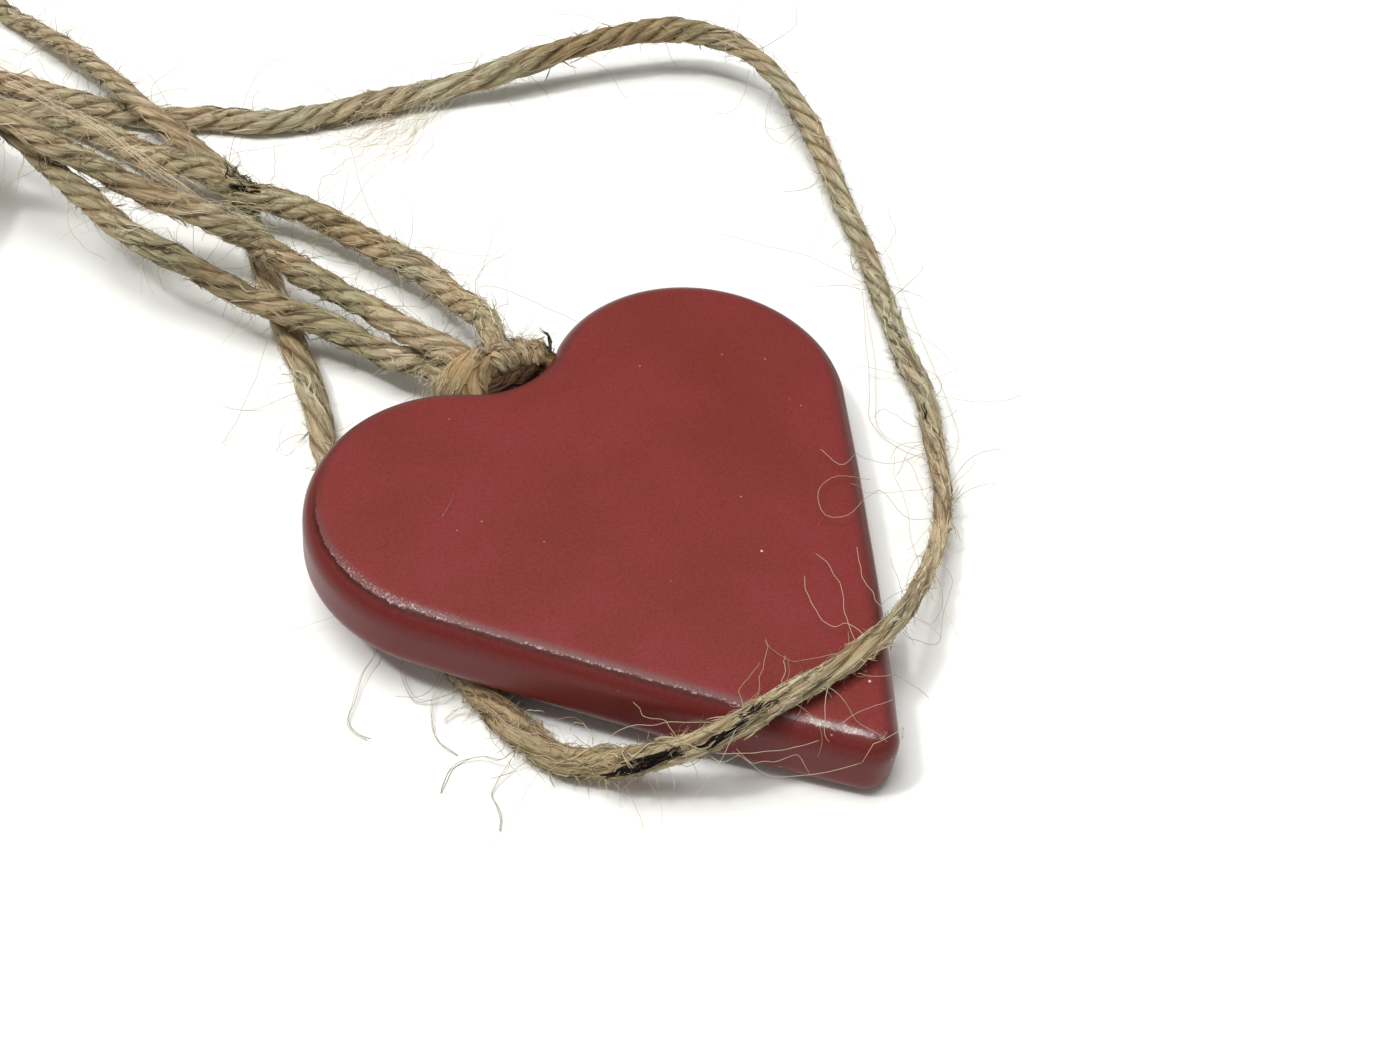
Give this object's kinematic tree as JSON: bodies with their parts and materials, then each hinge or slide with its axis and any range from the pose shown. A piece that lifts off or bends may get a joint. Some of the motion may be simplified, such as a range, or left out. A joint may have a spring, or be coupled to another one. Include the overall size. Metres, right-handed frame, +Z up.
{
  "type": "heart garland",
  "caption": "Glazed ceramic heart tied through its notch on natural jute twine, with a hanging loop and a length of garland twine that ends in a tied coil.",
  "frame": {"origin": "on the table, under the middle of the heart's box", "axes": "+Z up from the table; the heart lies on its back with its tip towards -Y and its notch towards +Y"},
  "size_m": [0.1278, 0.1737, 0.0192],
  "materials": {
    "red_glaze": "satin",
    "knotted_jute": "matte",
    "jute": "matte",
    "lead_jute": "matte",
    "run_jute": "matte",
    "wound_jute": "matte",
    "tie_jute": "matte"
  },
  "bodies": {
    "root": {"heart": "red_glaze", "knot": "knotted_jute", "hanging_loop": "jute", "lead": "lead_jute", "run": "run_jute", "coil": "wound_jute", "coil_tie": "tie_jute"}
  },
  "joints": []
}
